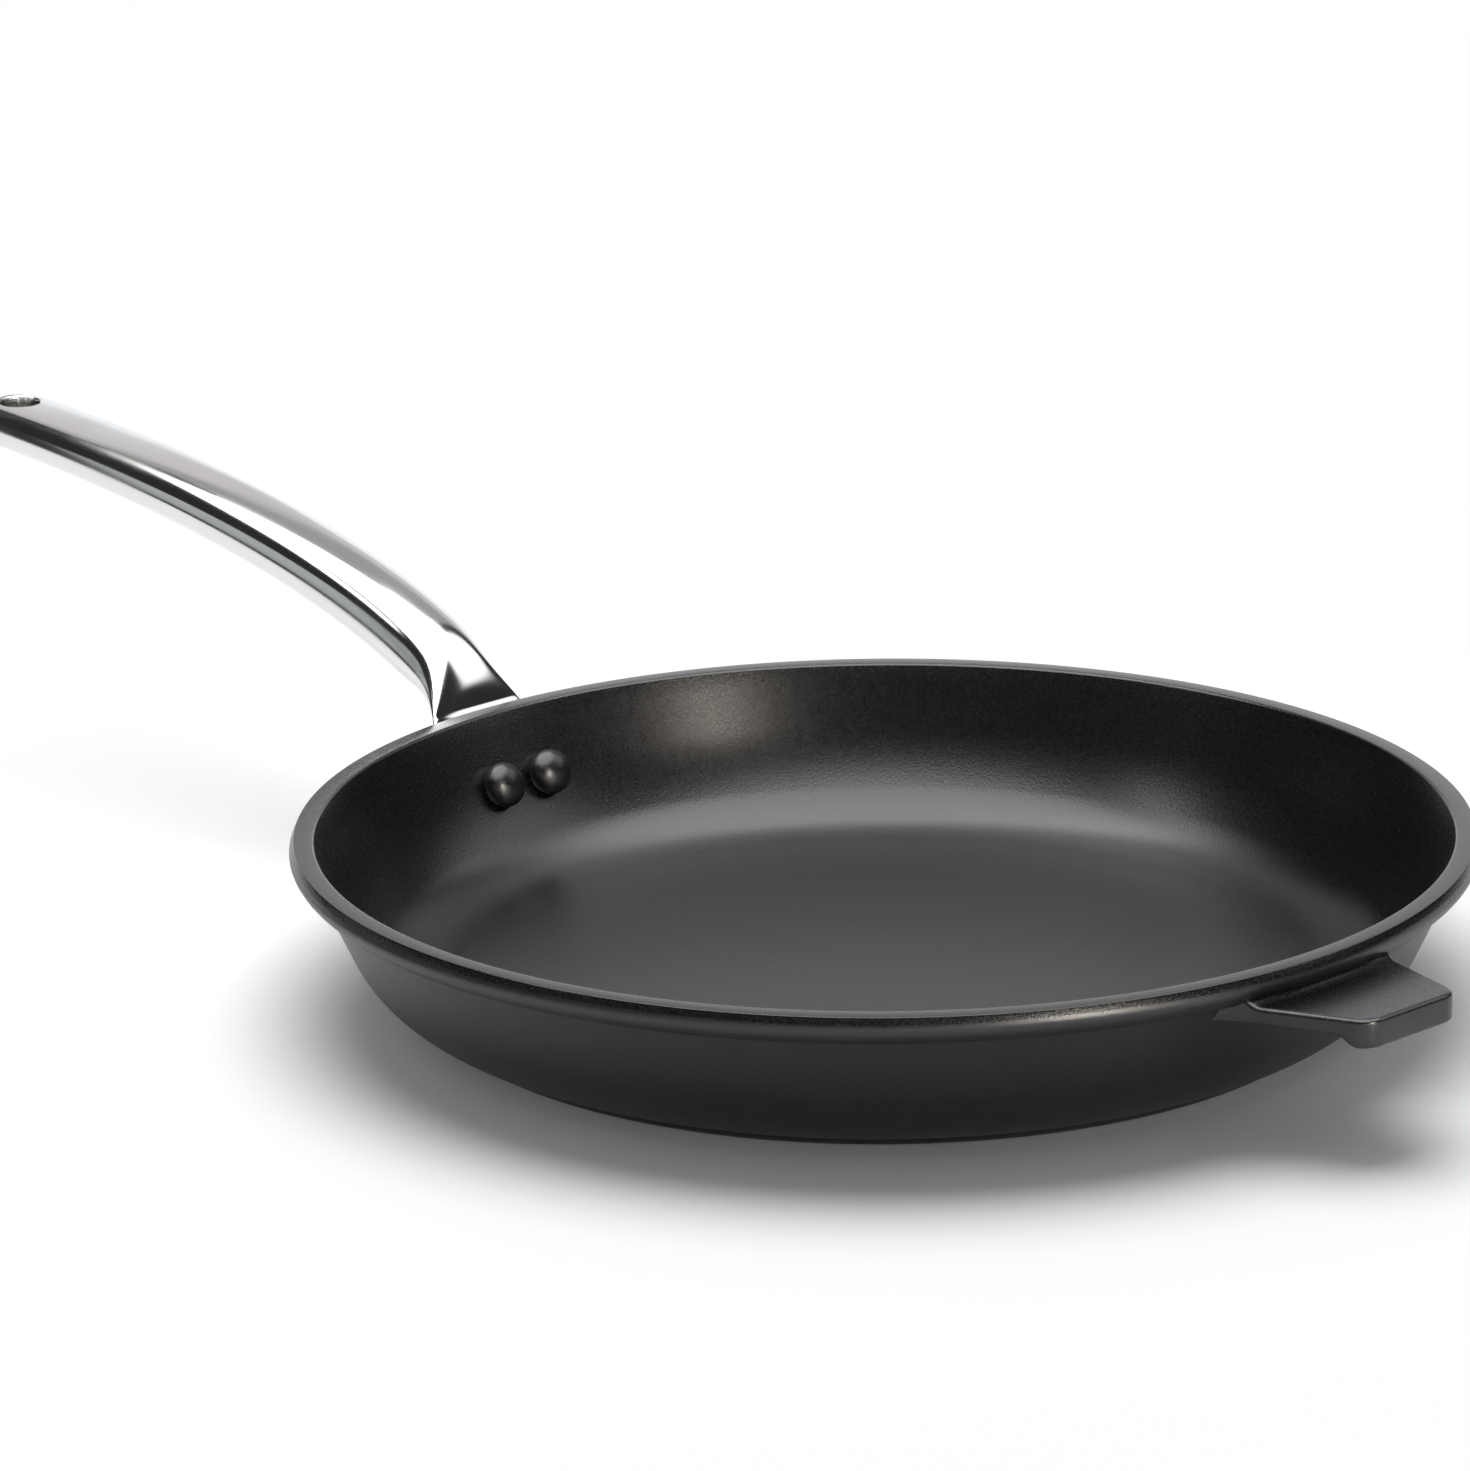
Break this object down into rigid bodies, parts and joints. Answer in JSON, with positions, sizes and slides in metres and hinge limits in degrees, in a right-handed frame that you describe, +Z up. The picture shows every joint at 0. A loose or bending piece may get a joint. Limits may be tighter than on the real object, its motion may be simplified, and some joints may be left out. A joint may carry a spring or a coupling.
{
  "type": "frying pan",
  "caption": "Round cast frying pan with a beaded pouring rim, a riveted curved steel handle with a hanging hole and a cast-in helper handle.",
  "frame": {"origin": "centre of the pan's underside, on the plane it stands on", "axes": "+Z up out of the pan, the long handle along -X, the helper handle along +X"},
  "size_m": [0.5663, 0.32, 0.1005],
  "materials": {
    "coated_casting": "cast aluminium with a dark grey matte non-stick coating",
    "plate_steel": "satin magnetic stainless steel",
    "handle_steel": "polished cast stainless steel",
    "coated_rivet": "aluminium with the same dark grey coating as the pan"
  },
  "bodies": {
    "root": {"pan_body": "coated_casting", "base_plate": "plate_steel", "handle": "handle_steel", "rivet_left": "coated_rivet", "rivet_right": "coated_rivet"}
  },
  "joints": []
}
